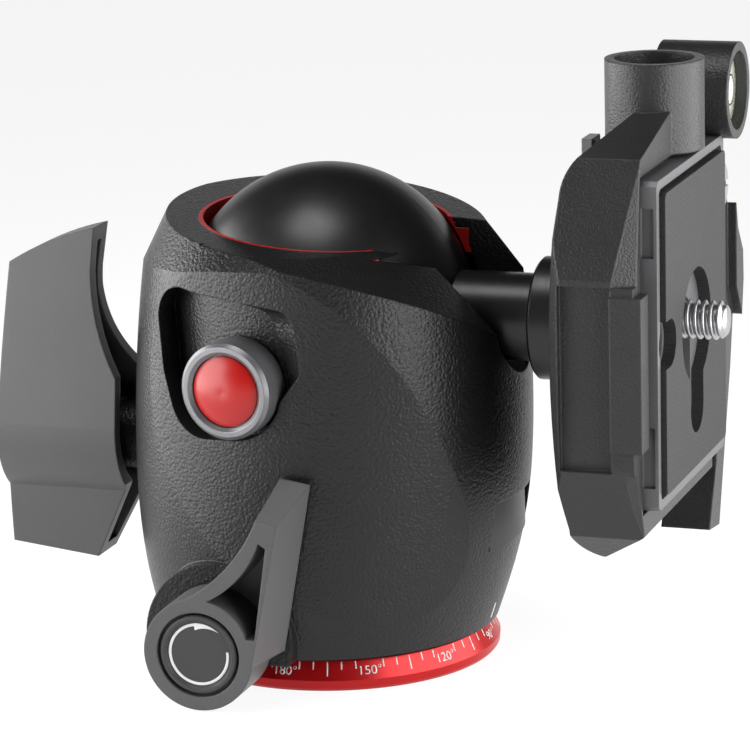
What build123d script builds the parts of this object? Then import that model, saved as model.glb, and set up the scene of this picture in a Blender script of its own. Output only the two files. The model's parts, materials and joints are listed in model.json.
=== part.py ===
from build123d import *
from math import cos, radians, sin, sqrt, tan
import os

# Ball head for a camera tripod, in millimetres. The origin is the centre of the
# base's flat underside and +Z is the pan axis. The stem lies in the portrait notch
# along +X, the friction dial and pan lever face -Y, and the main knob is on -X.

# ---------------------------------------------------------------- driving sizes
BASE_R = 27.2                 # foot of the scale ring
SCALE_TOP_R = 25.9            # top of the sloping scale band
SCALE_TOP_Z = 4.8
SCALE_FOOT_Z = 1.8            # upright band under the scale
RING_BORE_R = 20.0
BUSH_R = 7.0
TRIPOD_HOLE_R = 4.0           # core of a 3/8 inch tripod thread
TRIPOD_HOLE_DEPTH = 10.0

HOUSING_FOOT_Z = 5.5
# sections of the housing's outer form: height, radius, shift towards +X
BARREL_SECTIONS = [
    (HOUSING_FOOT_Z, 28.2, -1.1), (16, 31.05, -0.55), (28, 32.65, 0.1), (40, 32.95, 0.5),
    (52, 32.5, 0.75), (64, 31.3, 0.8), (76, 29.6, 0.8),
]
FACET_R = 40.0                # drum that shapes the front facet
BALL_Z = 57.6
BALL_R = 24.0
BALL_GAP = 0.3                # free space between the ball and its seats
SEAT_R = BALL_R + BALL_GAP
SOCKET_R = 25.2               # bore that takes the liner and the cup
COLLAR_MOUTH_R = 20.9
COLLAR_NECK_R = 21.3          # ledge just under the mouth
LINER_MOUTH_R = 20.2
NOTCH_HALF = 9.1              # half the width of the portrait notch
STEM_R = 7.15
FIT = 0.05                    # radial clearance of every running fit

SPINDLE_R = 8.5
SPINDLE_GROOVE_R = 6.9
SPINDLE_TOP_Z = 23.0

KNOB_Z = 34.0                 # axis of the main lock knob
KNOB_SHAFT_R = 4.0
KNOB_BOSS_X = -37.2           # end of the housing's boss inside the knob
PAN_X = -9.1                  # axis of the pan lever
PAN_Z = 9.5
PAN_PLUG_R = 3.2
PAN_SHAFT_R = 1.9
LEVER_HUB_R = 9.2
LEVER_FRONT_Y = -41.0
LEVER_BACK_Y = -32.0

DIAL_X = -6.44                # friction dial: centre of its front rim
DIAL_Y = -32.6
DIAL_Z = 50.56
DIAL_R = 7.87
DIAL_TURN = 8.0               # the dial looks this many degrees towards -X
DIAL_SCREW_R = 2.5
POCKET_FLOOR_R = 26.8         # keeps a wall between pocket and socket

CLAMP_UNDER_X = 45.0          # underside of the quick-release clamp
CLAMP_FLOOR_X = 51.3
CLAMP_TOP_X = 59.0
PLATE_FACE_X = 61.4           # rim of the camera plate
PLATE_LENGTH = 52.5
PLATE_WIDTH = 43.0
PLATE_Y = 0.4                 # middle of the plate
PLATE_Z = 58.45
PAD_SINK = 1.2                # depth of the pad's bed in the plate
PAD_FACE_X = 62.2
CAMERA_SCREW_R = 3.17         # quarter-inch thread
SCREW_TRAVEL = 13.45          # length of the screw's slot between centres
VIAL_TUBE_R = 7.95
VIAL_BORE_R = 6.45
VIAL_Y = 24.0                 # landscape level, along +X
VIAL_Z = 91.6
UP_VIAL_X = 54.6              # portrait level, along +Z
UP_VIAL_Y = 4.0
LEVER_PIVOT_Y = 27.0
LEVER_PIVOT_Z = 75.0
CATCH_X = 42.6                # safety catch behind the clamp's head end
CATCH_Y = 6.0
CATCH_Z = 84.4

os.makedirs("parts", exist_ok=True)
nodes = {}


def keep(name, shape):
    """File a finished piece under its node name."""
    nodes[name] = shape


def turned(points):
    """Solid of revolution about Z from (radius, height) points."""
    outline = Polyline(*[(r, 0, z) for r, z in points], close=True)
    return revolve(make_face(outline), Axis.Z)


def rod(radius, start, end):
    """Round bar between two points."""
    start, end = Vector(*start), Vector(*end)
    run = end - start
    return extrude(Plane(start, z_dir=run) * Circle(radius), run.length)


def block(x, y, z):
    """Box from its limits on each axis."""
    size = (x[1] - x[0], y[1] - y[0], z[1] - z[0])
    centre = ((x[0] + x[1]) / 2, (y[0] + y[1]) / 2, (z[0] + z[1]) / 2)
    return Pos(*centre) * Box(*size)


def slab(points, x):
    """Flat plate: an outline of (y, z) points, thick from x[0] to x[1]."""
    outline = Polyline(*[(x[0], y, z) for y, z in points], close=True)
    return extrude(make_face(outline), x[1] - x[0], dir=(1, 0, 0))


# ---------------------------------------------------------------- base
def scale_ring():
    """Anodised ring with the sloping band that carries the degree scale."""
    return turned([
        (RING_BORE_R, 0), (BASE_R - 0.4, 0), (BASE_R, 0.5), (BASE_R + 0.1, SCALE_FOOT_Z),
        (SCALE_TOP_R, SCALE_TOP_Z), (22.0, SCALE_TOP_Z), (22.0, 2.4), (RING_BORE_R, 2.4),
    ])


def base_plate():
    """Stepped disc that traps the scale ring and carries the spindle."""
    disc = turned([
        (BUSH_R, 0), (RING_BORE_R, 0), (RING_BORE_R, 2.4), (22.0, 2.4),
        (22.0, 3.4), (14.0, 3.4), (14.0, 2.6), (BUSH_R, 2.6),
    ])
    grooves = [turned([(r, 0), (r + 0.8, 0), (r + 0.8, 0.4), (r, 0.4)]) for r in (7.8, 17.4)]
    heads = [rod(2.6, (*spot, -0.1), (*spot, 1.3)) for spot in screw_spots()]
    holes = [rod(1.5, (*spot, 1.2), (*spot, 3)) for spot in screw_spots()]
    return disc - grooves - heads - holes


def screw_spots():
    """The three screws of the base, on a circle."""
    return [(11.4 * cos(radians(a)), 11.4 * sin(radians(a))) for a in (90, 210, 330)]


def base_screws():
    """Cap screws from below, through the plate into the spindle's flange."""
    screws = []
    for x, y in screw_spots():
        screw = rod(2.5, (x, y, 0.2), (x, y, 1.3)) + rod(1.45, (x, y, 1.2), (x, y, 4.2))
        screws.append(screw - extrude(Pos(x, y, 0.2) * RegularPolygon(1.1, 6), 0.7))
    return Compound(children=screws)


def tripod_bush():
    """Steel bush with the tripod thread, let into plate and spindle."""
    return turned([
        (TRIPOD_HOLE_R, 0), (BUSH_R, 0), (BUSH_R, 2.6), (5.4, 2.6), (5.4, TRIPOD_HOLE_DEPTH),
        (TRIPOD_HOLE_R, TRIPOD_HOLE_DEPTH),
    ])


def pan_spindle():
    """Fixed post with the waist that the pan lock grips."""
    post = turned([
        (0, 10.2), (5.4, 10.2), (5.4, 2.6), (14.0, 2.6), (14.0, 4.7), (SPINDLE_R, 4.7),
        (SPINDLE_R, 5.6), (SPINDLE_GROOVE_R, 6.3), (SPINDLE_GROOVE_R, 12.8), (SPINDLE_R, 13.8),
        (SPINDLE_R, 20.2), (7.4, 20.2), (7.4, 21.4), (SPINDLE_R - 0.4, 21.4),
        (SPINDLE_R - 0.4, SPINDLE_TOP_Z - 0.6), (SPINDLE_R - 1, SPINDLE_TOP_Z), (0, SPINDLE_TOP_Z),
    ])
    holes = [rod(1.45, (*spot, 2.5), (*spot, 4.2)) for spot in screw_spots()]
    return post - holes


def spindle_clip():
    """Retaining ring in the spindle's groove, open on one side."""
    ring = turned([(7.4, 20.25), (11.0, 20.25), (11.0, 21.35), (7.4, 21.35)])
    return ring - block((0, 12), (-1.6, 1.6), (20, 22))


def thrust_washer():
    """Low-friction ring that the housing turns on."""
    return turned([(15.0, 3.4), (21.5, 3.4), (21.5, 5.4), (15.0, 5.4)])


# ---------------------------------------------------------------- housing
def barrel():
    """Egg-shaped outer form; its round sections shift a little with height."""
    return loft([Pos(shift, 0, z) * Circle(radius) for z, radius, shift in BARREL_SECTIONS])


def leaning_cone(apex, downward, half_angle, height):
    """Solid cone that opens downwards round a leaning axis."""
    reach = height * tan(radians(half_angle))
    outline = Polyline((0, 0, 0), (reach, 0, height), (0, 0, height), close=True)
    return Plane(apex, z_dir=downward).location * revolve(make_face(outline), Axis.Z)


def bevel_cut():
    """Steep band under the collar, wider at the back on +X than on -X."""
    cone = leaning_cone((-13.6, 20.3, 112.1), (0.217, -0.341, -1), 30.6, 90)
    return block((-40, 40), (-40, 40), (52, 90)) - cone


def shoulder_cut(start_angle=-120, drop=0.0):
    """Sweeping shoulder on the front: what lies outside a flat leaning cone."""
    cone = leaning_cone((10.2, 2.8, 78.7 - drop), (-0.292, -0.289, -1), 57.1, 60)
    reach = 60.0
    start = (reach * cos(radians(start_angle)), reach * sin(radians(start_angle)))
    wedge = Polyline((0, 0), start, (reach, -reach), (reach, 0), close=True)
    return extrude(Pos(0, 0, 50) * make_face(wedge), 40) - cone


def front_facet_cut():
    """Large rounded facet on the front: what lies outside a bent drum."""
    sections = []
    for z in range(-5, 96, 20):
        centre_x = -10.8 + 0.354 * z - 0.0023 * z ** 2
        centre_y = 7.11 + 0.0844 * z - 0.00073 * z ** 2
        sections.append(Pos(centre_x, centre_y, z) * Circle(FACET_R))
    return block((-45, 45), (-50, -12), (0, 90)) - loft(sections)


def dial_plane(depth=0.0):
    """Plane across the friction dial's axis, measured inwards from its rim."""
    turn = radians(DIAL_TURN)
    outward = Vector(-sin(turn), -cos(turn), 0)
    centre = Vector(DIAL_X, DIAL_Y, DIAL_Z) - outward * depth
    return Plane(centre, x_dir=(cos(turn), -sin(turn), 0), z_dir=outward)


def hull_of(rounds):
    """Face stretched round circles given as (right, up, radius)."""
    circles = [Pos(u, v) * Circle(r) for u, v, r in rounds]
    return make_hull([edge for circle in circles for edge in circle.edges()])


def finger_pocket():
    """Eye-shaped pocket for a fingertip, flared to the right of the dial."""
    flare_depth, full_depth = 6.0, 16.0
    eye = hull_of([(0, 0, 8.45), (-10.2, 9.75, 5.4), (2.6, 8.6, 4.1), (-5.5, -1.5, 7.3), (-8.8, 2.5, 5.7)])
    mouth = hull_of([(0, 0, 8.6), (-10.3, 9.8, 5.6), (14.6, 10.2, 3.6)])
    throat = hull_of([(0, 0, 8.4), (-10.1, 9.7, 5.3), (2.6, 8.6, 4.1)])
    pocket = extrude(dial_plane() * eye, -full_depth)
    pocket += loft([dial_plane(flare_depth) * throat, dial_plane() * mouth], ruled=True)
    # the floor follows the socket's wall and keeps a boss for the screw
    screw_boss = dial_solid([(0, 3.9), (5.6, 3.9), (5.6, full_depth), (0, full_depth)])
    return pocket - rod(POCKET_FLOOR_R, (0, 0, 20), (0, 0, 90)) - screw_boss


def notch(x_start):
    """U-shaped slot that lets the stem lie level."""
    channel = block((x_start, 45), (-NOTCH_HALF, NOTCH_HALF), (BALL_Z, 90))
    return channel + rod(NOTCH_HALF, (x_start, 0, BALL_Z), (45, 0, BALL_Z))


def rim_cut():
    """Everything above the collar, whose face leans towards +X and -Y."""
    lean = Plane((0, 0, 72.5), z_dir=(0.065, -0.045, 1))
    return extrude(lean * Rectangle(90, 90), 20)


def ring_r(radius, z):
    """Radius at a height z of a sphere about the ball's centre."""
    return sqrt(radius ** 2 - (z - BALL_Z) ** 2)


def ball_cavity():
    """Socket bore, closed over the ball and open at the collar's mouth."""
    turn_z, step_z, neck_z = 67.0, 70.0, 70.9
    half_z = (BALL_Z + turn_z) / 2
    bore = Line((SOCKET_R, 0, 30.0), (SOCKET_R, 0, BALL_Z))
    turn_r = ring_r(SOCKET_R, turn_z)
    dome = ThreePointArc((SOCKET_R, 0, BALL_Z), (ring_r(SOCKET_R, half_z), 0, half_z), (turn_r, 0, turn_z))
    rest = Polyline(
        (turn_r, 0, turn_z), (turn_r, 0, step_z), (COLLAR_NECK_R, 0, step_z), (COLLAR_NECK_R, 0, neck_z),
        (COLLAR_MOUTH_R, 0, neck_z), (COLLAR_MOUTH_R, 0, 80), (0, 0, 80), (0, 0, 30.0), (SOCKET_R, 0, 30.0),
    )
    return Rot(0, 0, 90) * revolve(make_face(bore + dome + rest), Axis.Z)


def housing():
    """Die-cast body: socket above, web and spindle bearing below."""
    body = barrel() - bevel_cut() - shoulder_cut() - front_facet_cut()
    pan_boss = rod(12.5, (PAN_X, -14, PAN_Z), (PAN_X, LEVER_BACK_Y + 0.3, PAN_Z))
    body += pan_boss & block((-40, 40), (-40, 0), (HOUSING_FOOT_Z, 40))
    body += rod(5.8, (-26, 0, KNOB_Z), (KNOB_BOSS_X, 0, KNOB_Z))
    body -= rim_cut()
    body -= ball_cavity()
    body -= notch(12.0)
    body -= finger_pocket()
    # bearing for the spindle, with a recess above for the clip
    bearing_r = SPINDLE_R + FIT
    body -= turned([(0, 5), (bearing_r, 5), (bearing_r, 20.0), (12.0, 20.0), (12.0, 31.0), (0, 31.0)])
    # coring round the bearing, open upwards, with four ribs left standing
    coring = turned([(16.8, 16.0), (22.0, 16.0), (23.4, 31.0), (16.8, 31.0)])
    ribs = [Rot(0, 0, 45 + 90 * n) * block((14, 26), (-1.2, 1.2), (15, 30)) for n in range(4)]
    body -= coring - ribs
    # bores for the locks
    body -= rod(KNOB_SHAFT_R + FIT, (KNOB_BOSS_X - 1, 0, KNOB_Z), (-14, 0, KNOB_Z))
    body -= rod(PAN_PLUG_R + FIT, (PAN_X, -33, PAN_Z), (PAN_X, 11, PAN_Z))
    body -= dial_solid([(0, 3), (DIAL_SCREW_R + FIT, 3), (DIAL_SCREW_R + FIT, 14), (0, 14)])
    body -= label_recess(31.2, 40)
    return body


def label_recess(inner_r, outer_r):
    """Rounded window on +X, between two radii."""
    return turned([(inner_r, 15), (outer_r, 15), (outer_r, 35), (inner_r, 35)]) & block(
        (20, 45), (-10.0, 10.0), (20.5, 28.5)
    )


def socket_liner():
    """Red upper seat: touches the ball above its equator, cut for the notch."""
    low_z, turn_z, step_z, neck_z, high_z = 65.8, 67.0, 69.9, 70.8, 75.0
    ring = Pos(0, 0, BALL_Z) * Sphere(SOCKET_R) & rod(SOCKET_R, (0, 0, low_z), (0, 0, turn_z))
    ring += rod(ring_r(SOCKET_R, turn_z), (0, 0, turn_z), (0, 0, step_z))
    ring += rod(COLLAR_NECK_R, (0, 0, step_z), (0, 0, neck_z))
    ring += rod(COLLAR_MOUTH_R, (0, 0, neck_z), (0, 0, high_z))
    ring -= notch(12.0)
    ring -= shoulder_cut(-50, 3.5)
    ring -= rim_cut()
    ring -= rod(LINER_MOUTH_R, (0, 0, low_z - 1), (0, 0, high_z + 1))
    return ring - Pos(0, 0, BALL_Z) * Sphere(SEAT_R)


def ball_cup():
    """Lower seat, with the cone that the lock plunger wedges against."""
    top_z, low_r, low_z = 46.0, 13.0, 36.0
    seat_z = BALL_Z - sqrt(SEAT_R ** 2 - low_r ** 2)
    top_r = ring_r(SEAT_R, top_z)
    mid_r = (low_r + top_r) / 2
    mid_z = BALL_Z - sqrt(SEAT_R ** 2 - mid_r ** 2)
    seat = ThreePointArc((low_r, 0, seat_z), (mid_r, 0, mid_z), (top_r, 0, top_z))
    back = Polyline(
        (top_r, 0, top_z), (SOCKET_R, 0, top_z), (SOCKET_R, 0, 43.4), (17.0, 0, low_z), (low_r, 0, low_z),
        (low_r, 0, seat_z),
    )
    return revolve(make_face(seat + back), Axis.Z)


def cup_spring():
    """Pressed ring under the cup that keeps it against the ball."""
    ring = turned([(13.6, 30.0), (16.6, 30.0), (16.6, 36.0), (15.8, 36.0), (15.8, 30.8), (13.6, 30.8)])
    return ring - block((-20, -10), (-5, 5), (29, 40))


def lock_plunger():
    """Steel pin with a coned tip, pushed in by the main knob's screw."""
    pin = rod(KNOB_SHAFT_R, (-28.4, 0, KNOB_Z), (-21.0, 0, KNOB_Z))
    tip = Pos(-21.0, 0, KNOB_Z) * Rot(0, 90, 0) * Pos(0, 0, 1.5) * Cone(KNOB_SHAFT_R, 1.6, 3.0)
    return pin + tip


def label_plate():
    """Bare name plate, sunk in its window."""
    return label_recess(31.2, 31.75)


# ---------------------------------------------------------------- main lock knob
def wing_outline(inset=0.0):
    """The knob seen along its axis: long wing up, short wing down, offset."""
    z = KNOB_Z
    front = Polyline((-8.4, z + 39), (-11.8, z + 3.5)) + ThreePointArc(
        (-11.8, z + 3.5), (-10.2, z - 3.6), (-6.2, z - 8.4)
    ) + Line((-6.2, z - 8.4), (-4.4, z - 21))
    foot = Line((-4.4, z - 21), (3.4, z - 21))
    back = Line((3.4, z - 21), (6.0, z - 9.0))
    back += ThreePointArc((6.0, z - 9.0), (11.2, z + 0.5), (7.4, z + 8.6))
    back += ThreePointArc((7.4, z + 8.6), (-1.6, z + 17.0), (-4.4, z + 27.0))
    back += Line((-4.4, z + 27.0), (-1.9, z + 39))
    tip = Line((-1.9, z + 39), (-8.4, z + 39))
    face = make_face(front + foot + back + tip)
    if inset:
        face = offset(face, -inset)
    return face


def wing_solid(inset, x_out, x_in):
    """The outline as a solid between two stations on the knob's axis."""
    stand = Plane((x_in, 0, 0), x_dir=(0, 1, 0), z_dir=(1, 0, 0))
    return extrude(stand * wing_outline(inset), -(x_in - x_out))


def wing_side():
    """The knob seen from the front: sloping tip, bellied outer edge."""
    z = KNOB_Z
    outer = ThreePointArc((-53.0, 0, z + 30.8), (-55.6, 0, z + 2), (-56.6, 0, z - 18.9))
    tip = ThreePointArc((-37.8, 0, z + 37.0), (-44.6, 0, z + 35.0), (-53.0, 0, z + 30.8))
    foot = Polyline((-56.6, 0, z - 18.9), (-41.2, 0, z - 20.8), (-34.4, 0, z - 7.0), (-34.0, 0, z + 12.0))
    neck = ThreePointArc((-34.0, 0, z + 12.0), (-37.6, 0, z + 22.0), (-38.4, 0, z + 30.0))
    neck += Line((-38.4, 0, z + 30.0), (-37.8, 0, z + 37.0))
    return extrude(make_face(tip + outer + foot + neck), 20, both=True)


def knob_grip():
    """Moulded wing knob, open on the side that faces the housing."""
    side = wing_side()
    body = wing_solid(0, -58, -33) & side
    body -= wing_solid(2.2, -52.5, -30) & (Pos(3.0, 0, -1.6) * side)
    rib_z = KNOB_Z + 18
    ribs = block((-53, -40), (-12, 8), (rib_z - 0.7, rib_z + 0.7))
    ribs += block((-53, -41), (-12, 8), (rib_z + 9.3, rib_z + 10.7))
    ribs += block((-53, -42), (-0.7, 0.7), (KNOB_Z - 16, KNOB_Z - 5))
    ribs += block((-53, -41), (-6.2, -4.8), (KNOB_Z + 4, KNOB_Z + 18))
    body += rod(6.0, (-54, 0, KNOB_Z), (KNOB_BOSS_X - 0.3, 0, KNOB_Z))
    body += ribs & wing_solid(1.5, -54, -34) & side
    screw_hole = rod(3.6, (-58, 0, KNOB_Z), (-53.4, 0, KNOB_Z)) + rod(1.6, (-54, 0, KNOB_Z), (-48, 0, KNOB_Z))
    return body - rod(KNOB_SHAFT_R, (-48, 0, KNOB_Z), (-33, 0, KNOB_Z)) - screw_hole


def knob_shaft():
    """Threaded spindle of the main knob."""
    shaft = rod(KNOB_SHAFT_R, (-48, 0, KNOB_Z), (-29.0, 0, KNOB_Z))
    return shaft - rod(1.5, (-48.1, 0, KNOB_Z), (-44, 0, KNOB_Z))


def knob_screw():
    """Screw that holds the grip on its spindle, from outside."""
    screw = rod(3.3, (-54.9, 0, KNOB_Z), (-53.4, 0, KNOB_Z)) + rod(1.5, (-53.5, 0, KNOB_Z), (-44.5, 0, KNOB_Z))
    socket = Plane((-54.9, 0, KNOB_Z), z_dir=(1, 0, 0)) * RegularPolygon(1.4, 6)
    return screw - extrude(socket, 0.9)


# ---------------------------------------------------------------- friction dial
def dial_solid(profile):
    """Turned piece on the dial's axis, from (radius, depth) points."""
    outline = Polyline(*[(r, 0, -depth) for r, depth in profile], close=True)
    return dial_plane().location * revolve(make_face(outline), Axis.Z)


def friction_dial():
    """Small dial with a pale rim, cupped for its cap."""
    return dial_solid([
        (DIAL_SCREW_R, 1.2), (5.9, 1.2), (5.9, 0.5), (6.5, 0.0), (7.3, 0.0), (DIAL_R, 0.6),
        (DIAL_R, 6.0), (6.4, 6.0), (6.4, 3.0), (4.2, 3.0), (4.2, 3.6), (DIAL_SCREW_R, 3.6),
    ])


def friction_cap():
    """Domed disc in the dial's cup."""
    edge, crown, floor = 0.6, -0.7, 1.2
    dome = ThreePointArc((0, 0, -crown), (3.2, 0, -crown - 0.25), (5.7, 0, -edge))
    rest = Polyline((5.7, 0, -edge), (5.7, 0, -floor), (0, 0, -floor), (0, 0, -crown))
    return dial_plane().location * revolve(make_face(dome + rest), Axis.Z)


def friction_shaft():
    """Screw of the dial, ending at the pad on the ball."""
    r = DIAL_SCREW_R
    return dial_solid([(0, 1.2), (r, 1.2), (r, 8.8), (r - 0.4, 9.3), (0, 9.3)])


# ---------------------------------------------------------------- pan lock
def lever_outline(tip_rise=0.0, right_shift=0.0):
    """Arm of the pan lever, as an upright face at Y = 0."""
    tip_left = (1.4 + 0.4 * right_shift, 0, 32.4 + tip_rise)
    tip_right = (4.9 + right_shift, 0, 31.6 + tip_rise)
    start = (-14.6, 0, 16.9)
    sweep = ThreePointArc(start, (-3.9 + 0.3 * right_shift, 0, 24.2), tip_left)
    rest = Polyline(tip_left, tip_right, (0.0 + 0.9 * right_shift, 0, 8.4), (-6.0, 0, 3.0), start)
    return make_face(sweep + rest)


def lever_web():
    """Triangular hollow between hub and arm."""
    left = ThreePointArc((-7.4, 0, 18.4), (-1.6, 0, 22.9), (1.7, 0, 28.6))
    rest = Polyline((1.7, 0, 28.6), (2.9, 0, 27.8), (0.6, 0, 12.6), (-0.9, 0, 12.6))
    near_hub = ThreePointArc((-0.9, 0, 12.6), (-3.1, 0, 16.3), (-7.4, 0, 18.4))
    return make_face(left + rest + near_hub)


def pan_lever():
    """Moulded lever: round hub, curved arm that widens to the back."""
    front, back = LEVER_FRONT_Y, LEVER_BACK_Y
    arm = loft([Pos(0, front, 0) * lever_outline(), Pos(0, back, 0) * lever_outline(4.6, 2.6)], ruled=True)
    hub = rod(LEVER_HUB_R, (PAN_X, front, PAN_Z), (PAN_X, back, PAN_Z))
    body = arm + hub
    body -= extrude(Pos(0, front - 1, 0) * lever_web(), 9.5, dir=(0, 1, 0))
    body -= rod(7.0, (PAN_X, front - 1, PAN_Z), (PAN_X, front + 1.4, PAN_Z))
    return body - rod(4.6, (PAN_X, front, PAN_Z), (PAN_X, front + 4.0, PAN_Z)) - rod(
        PAN_SHAFT_R, (PAN_X, front, PAN_Z), (PAN_X, back + 1, PAN_Z)
    )


def pan_lever_cap():
    """Disc over the lever's screw, with a raised edge."""
    outline = [(0, 0.5), (5.4, 0.5), (5.7, 0.1), (6.3, 0.1), (6.5, 0.4), (6.5, 1.4), (0, 1.4)]
    disc = turned([(r, -d) for r, d in outline])
    return Pos(PAN_X, LEVER_FRONT_Y, PAN_Z) * Rot(90, 0, 0) * disc


def pan_lever_screw():
    """Long screw that draws the two gripping plugs together."""
    head = rod(4.4, (PAN_X, LEVER_FRONT_Y + 1.6, PAN_Z), (PAN_X, LEVER_FRONT_Y + 4.0, PAN_Z))
    return head + rod(PAN_SHAFT_R, (PAN_X, LEVER_FRONT_Y + 4, PAN_Z), (PAN_X, 8.0, PAN_Z))


def grip_plug(y_outer, y_inner):
    """Brass plug on the pan screw, hollowed to fit the spindle's waist."""
    plug = rod(PAN_PLUG_R, (PAN_X, y_outer, PAN_Z), (PAN_X, y_inner, PAN_Z))
    waist = rod(SPINDLE_GROOVE_R + 0.3, (0, 0, 2), (0, 0, 18))
    return plug - waist - rod(PAN_SHAFT_R + FIT, (PAN_X, -20, PAN_Z), (PAN_X, 20, PAN_Z))


# ---------------------------------------------------------------- ball and stem
def ball():
    """Turned ball with the socket that takes the stem."""
    sphere = Pos(0, 0, BALL_Z) * Sphere(BALL_R)
    return sphere - rod(STEM_R + FIT, (11.9, 0, BALL_Z), (30, 0, BALL_Z))


def stem():
    """Turned stem with its flange, along +X."""
    waist_r, flange_r = STEM_R - 0.3, 10.0
    profile = [
        (0, 12.2), (STEM_R - 0.6, 12.2), (STEM_R, 12.8), (STEM_R, 36.0), (waist_r, 36.2),
        (waist_r, 36.6), (flange_r - 0.4, 36.7), (flange_r, 37.1), (flange_r, CLAMP_UNDER_X),
        (0, CLAMP_UNDER_X),
    ]
    solid = turned(profile) - rod(3.4, (0, 0, 30), (0, 0, 46))
    return Pos(0, 0, BALL_Z) * Rot(0, 90, 0) * solid


def clamp_bolt():
    """Countersunk screw from the clamp's floor into the stem."""
    solid = turned([(0, 31), (3.4, 31), (3.4, 48.0), (6.4, CLAMP_FLOOR_X - 0.2), (0, CLAMP_FLOOR_X - 0.2)])
    solid -= extrude(Pos(0, 0, CLAMP_FLOOR_X - 3) * RegularPolygon(2.9, 6), 4)
    return Pos(0, 0, BALL_Z) * Rot(0, 90, 0) * solid


# ---------------------------------------------------------------- quick-release clamp
def clamp_outline():
    """The clamp seen along the stem, as (y, z) points."""
    return [
        (-26.8, 40), (-26.8, 70), (-21.6, 88.2), (-3.5, 92.4), (24.0, 92.4), (31.0, 88.0), (31.5, 83.0),
        (33.5, 72.0), (27.0, 62.0), (25.6, 38.0), (22.8, 22.7), (-15.5, 22.7), (-21.5, 27.6),
    ]


def clamp_under():
    """Bowed underside of the clamp with its rounded ends, from foot to head."""
    foot = ThreePointArc((51.0, 0, 22.6), (48.5, 0, 24.2), (47.0, 0, 28.6))
    bow = ThreePointArc((47.0, 0, 28.6), (CLAMP_UNDER_X + 0.05, 0, 55), (46.4, 0, 82.0))
    return foot + bow + ThreePointArc((46.4, 0, 82.0), (47.2, 0, 85.6), (49.3, 0, 88.5))


def clamp_side():
    """The clamp seen from the side: bowed underside, sloping ends."""
    ends = Polyline(
        (49.3, 0, 88.5), (54.0, 0, 93.0), (70, 0, 93.0), (70, 0, 28.0), (CLAMP_TOP_X, 0, 28.0),
        (51.0, 0, 22.6),
    )
    return extrude(make_face(clamp_under() + ends), 60, both=True)


def clamp_edge_bevel():
    """Everything inside the bevel that follows the underside along -Y."""
    rest = Polyline(
        (49.3, 0, 88.5), (49.3, 0, 120), (200, 0, 120), (200, 0, 0), (51.0, 0, 0), (51.0, 0, 22.6)
    )
    start = Pos(1.7, -26.8, 0) * make_face(clamp_under() + rest)
    return extrude(start, 120, dir=(-1, 1, 0))


def plate_bed():
    """Room for the camera plate, its side gap and the lever's swing."""
    length_z = (PLATE_Z - PLATE_LENGTH / 2 - 0.5, PLATE_Z + PLATE_LENGTH / 2 + 0.7)
    bed = block((CLAMP_FLOOR_X, 70), (-21.9, 60), length_z)
    return bed + block((CLAMP_FLOOR_X, 70), (22.9, 60), (15, 84.2))


def rail_facet(points):
    """Bevel of the rail: a triangle and everything outside it."""
    return extrude(make_face(Polyline(*points, close=True)), 8, dir=(1, -2, 0))


def clamp_body():
    """Die-cast clamp: bed, fixed jaw, two level tubes at the head end."""
    body = slab(clamp_outline(), (CLAMP_UNDER_X - 0.6, CLAMP_TOP_X)) & clamp_side() & clamp_edge_bevel()
    # the long side: sunk between two ledges, with a raised bare panel on the rail
    body -= block((46.8, 55.3), (-28.4, -25.2), (39.5, 69.0))
    top_x = CLAMP_TOP_X + 0.1
    body -= rail_facet([(55.3, -26.85, 69.0), (top_x, -24.6, 69.0), (top_x, -21.6, 88.1)])
    body -= rail_facet([(56.8, -26.7, 39.0), (top_x, -24.8, 39.0), (top_x, -20.2, 26.0)])
    body += block((55.3, 60.4), (-27.4, -22.9), (43.0, 67.6))
    body += rod(10.4, (CLAMP_UNDER_X, 0, BALL_Z), (CLAMP_UNDER_X + 3, 0, BALL_Z))
    body -= plate_bed()
    # the jaw's lip over the plate's bevel
    lip = [(55.2, -22.2), (57.0, -19.9), (57.6, -19.9), (57.6, -22.2)]
    body += extrude(make_face(Polyline(*[(x, y, 34.5) for x, y in lip], close=True)), 47, dir=(0, 0, 1))
    # level tubes: one looks up along the stem's side, one along the stem
    body += rod(VIAL_TUBE_R, (UP_VIAL_X, UP_VIAL_Y, 85.5), (UP_VIAL_X, UP_VIAL_Y, 99.9))
    body += rod(VIAL_TUBE_R, (50.8, VIAL_Y, VIAL_Z), (63.4, VIAL_Y, VIAL_Z))
    body -= rod(VIAL_BORE_R, (UP_VIAL_X, UP_VIAL_Y, 90.2), (UP_VIAL_X, UP_VIAL_Y, 101))
    body -= rod(VIAL_BORE_R, (52.5, VIAL_Y, VIAL_Z), (64, VIAL_Y, VIAL_Z))
    # holes: bolt, lever pivot, catch pivot, trigger pin
    bolt_hole = turned([(0, 44), (3.4, 44), (3.4, 48), (6.4, 51.1), (6.4, 53), (0, 53)])
    body -= Pos(0, 0, BALL_Z) * Rot(0, 90, 0) * bolt_hole
    body -= rod(2.4, (44, LEVER_PIVOT_Y, LEVER_PIVOT_Z), (60, LEVER_PIVOT_Y, LEVER_PIVOT_Z))
    body -= rod(1.5, (44, CATCH_Y, CATCH_Z), (CLAMP_TOP_X + 1, CATCH_Y, CATCH_Z))
    return body - rod(1.7, (47.5, 13.0, 68.0), (60, 13.0, 68.0))


def vial(axis_start, axis_end):
    """Sealed level: a puck with a domed lens."""
    return rod(VIAL_BORE_R, axis_start, axis_end)


def plate_section():
    """The camera plate's cross-section, as (x, y) points: rim, neck, foot."""
    half = PLATE_WIDTH / 2
    right = [
        (PLATE_FACE_X, half), (58.4, half), (57.8, half - 0.8), (57.6, half - 2.9), (56.8, half - 2.9),
        (54.4, half - 0.3), (51.6, half - 0.3),
    ]
    left = [(x, -y) for x, y in reversed(right)]
    return [(x, y + PLATE_Y) for x, y in right + left]


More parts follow.
